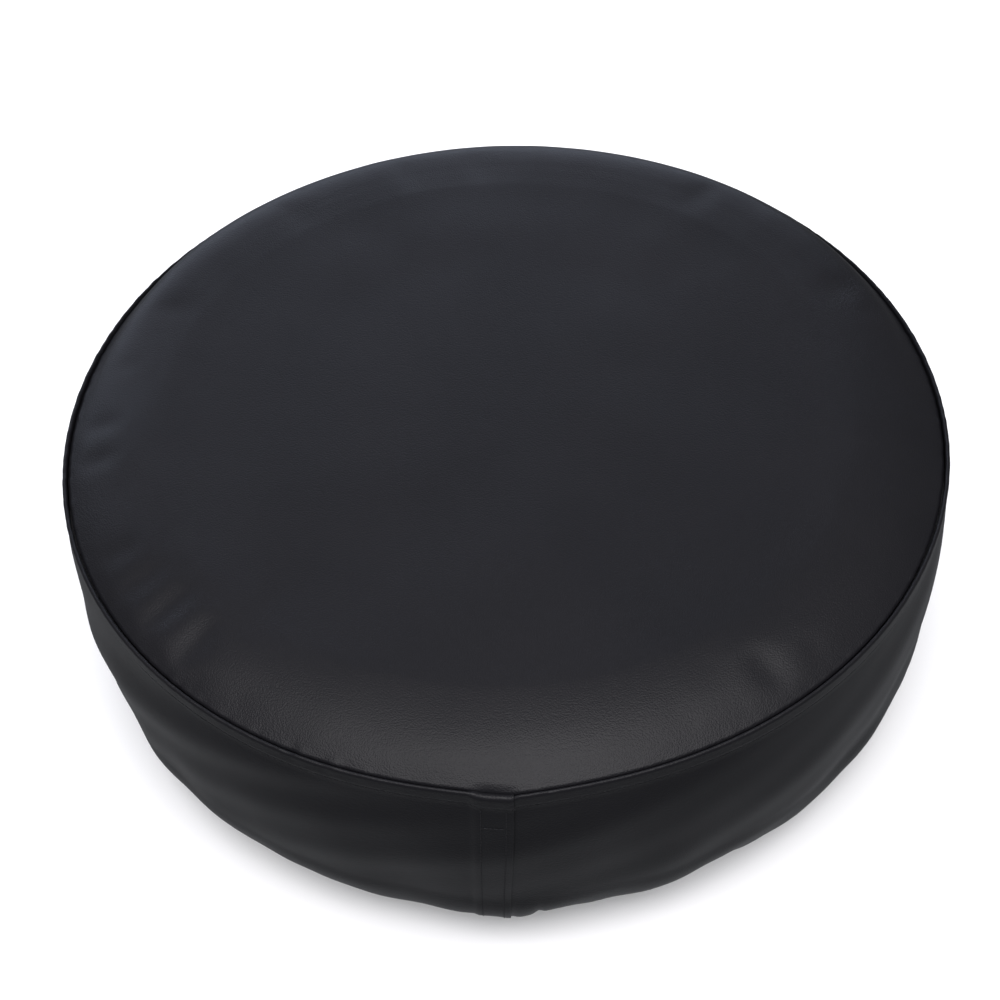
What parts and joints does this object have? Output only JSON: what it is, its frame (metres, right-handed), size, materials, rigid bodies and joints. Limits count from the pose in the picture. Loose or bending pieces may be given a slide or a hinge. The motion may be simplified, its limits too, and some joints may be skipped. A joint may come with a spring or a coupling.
{
  "type": "spare tire cover",
  "caption": "Soft round cover: a flat face panel, a barrel-shaped side band with rolled, topstitched edge, and an elastic hem that grips behind a spare tire.",
  "frame": {"origin": "centre of the flat ring behind the tire that the cover rests on, face up", "axes": "+Z along the tire's axle line, out through the face; -Y towards the front seam of the side band; +X to the right of that seam"},
  "size_m": [0.7446, 0.7468, 0.241],
  "materials": {
    "vinyl": "black PVC leatherette, fine pebble grain, satin",
    "backing": "dark grey fleece-like felt backing",
    "tape": "black woven seam tape",
    "elastic": "white knitted elastic",
    "thread": "black polyester sewing thread"
  },
  "bodies": {
    "root": {"face_panel": "vinyl", "face_lining": "backing", "band_panel_left": "vinyl", "band_panel_right": "vinyl", "band_lining_left": "backing", "band_lining_right": "backing", "seam_tape": "tape", "hem_elastic": "elastic", "face_seam_thread": "thread", "topstitch_thread": "thread", "hem_stitch_thread": "thread", "front_seam_thread_near": "thread", "front_seam_thread_far": "thread", "front_seam_cross_thread": "thread", "rear_seam_thread_near": "thread", "rear_seam_thread_far": "thread", "rear_seam_cross_thread": "thread"}
  },
  "joints": []
}
